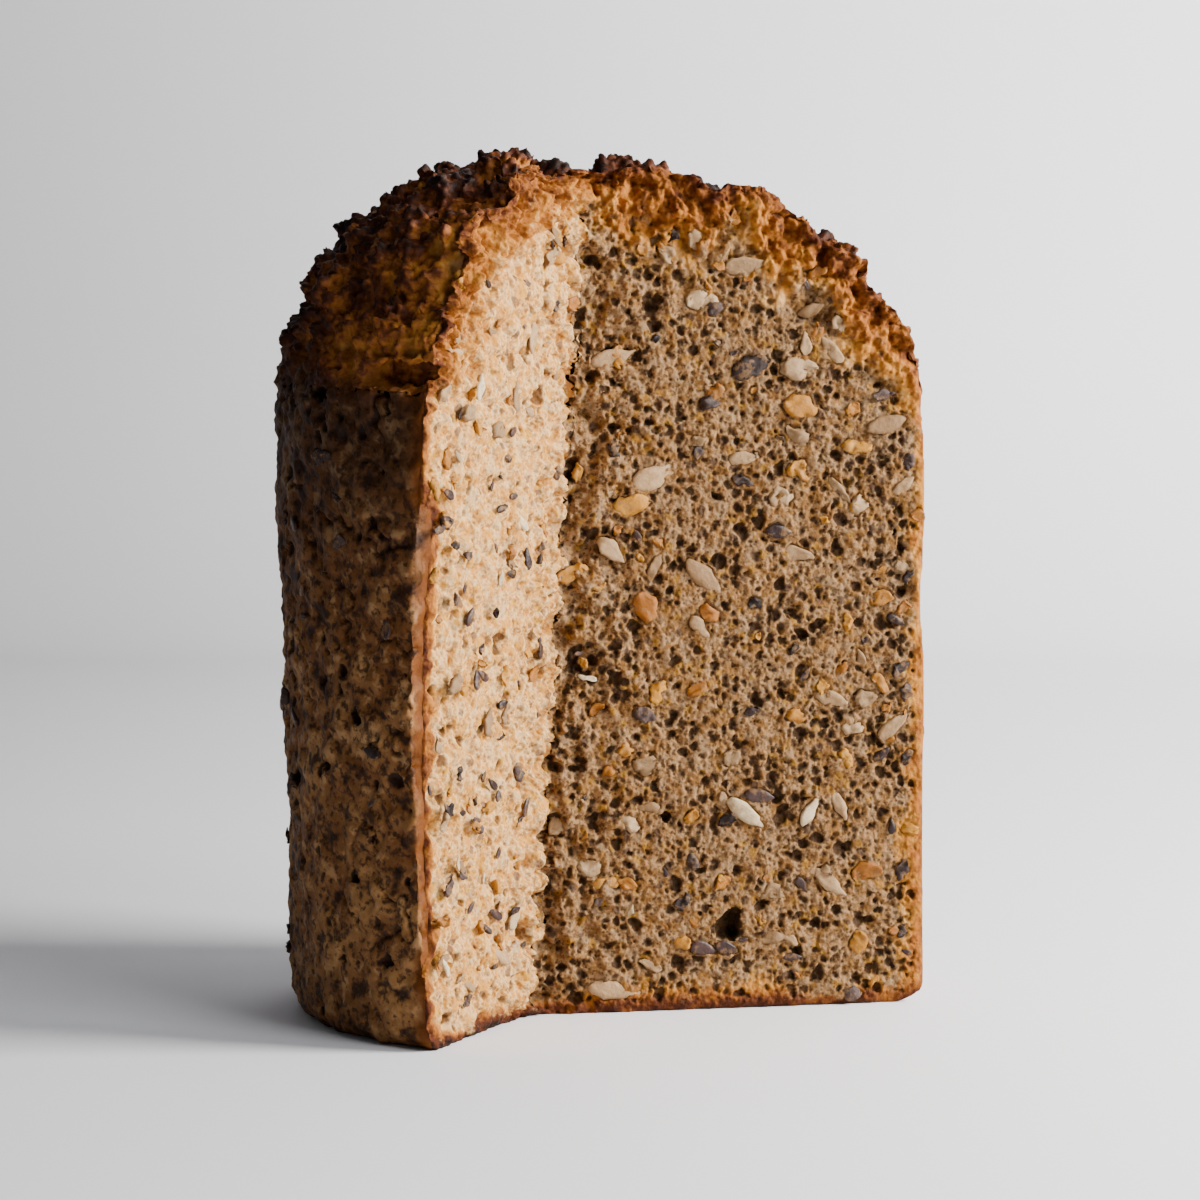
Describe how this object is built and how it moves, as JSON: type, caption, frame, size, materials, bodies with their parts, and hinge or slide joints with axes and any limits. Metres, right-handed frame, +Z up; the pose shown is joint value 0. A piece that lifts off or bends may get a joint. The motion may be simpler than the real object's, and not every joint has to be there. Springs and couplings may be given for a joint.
{
  "type": "protein bread loaf",
  "caption": "Tall round seeded protein bread loaf with a craggy browned crown and a wide wedge cut out of its front, standing on its flat base.",
  "frame": {"origin": "middle of the round base, on the plane the loaf stands on", "axes": "+Z up along the loaf's own axis, -Y towards the viewer who faces the cut-out wedge, +X to that viewer's right"},
  "size_m": [0.1161, 0.1074, 0.1538],
  "materials": {
    "crust": "matte"
  },
  "bodies": {
    "root": {"bread_loaf": "crust"}
  },
  "joints": []
}
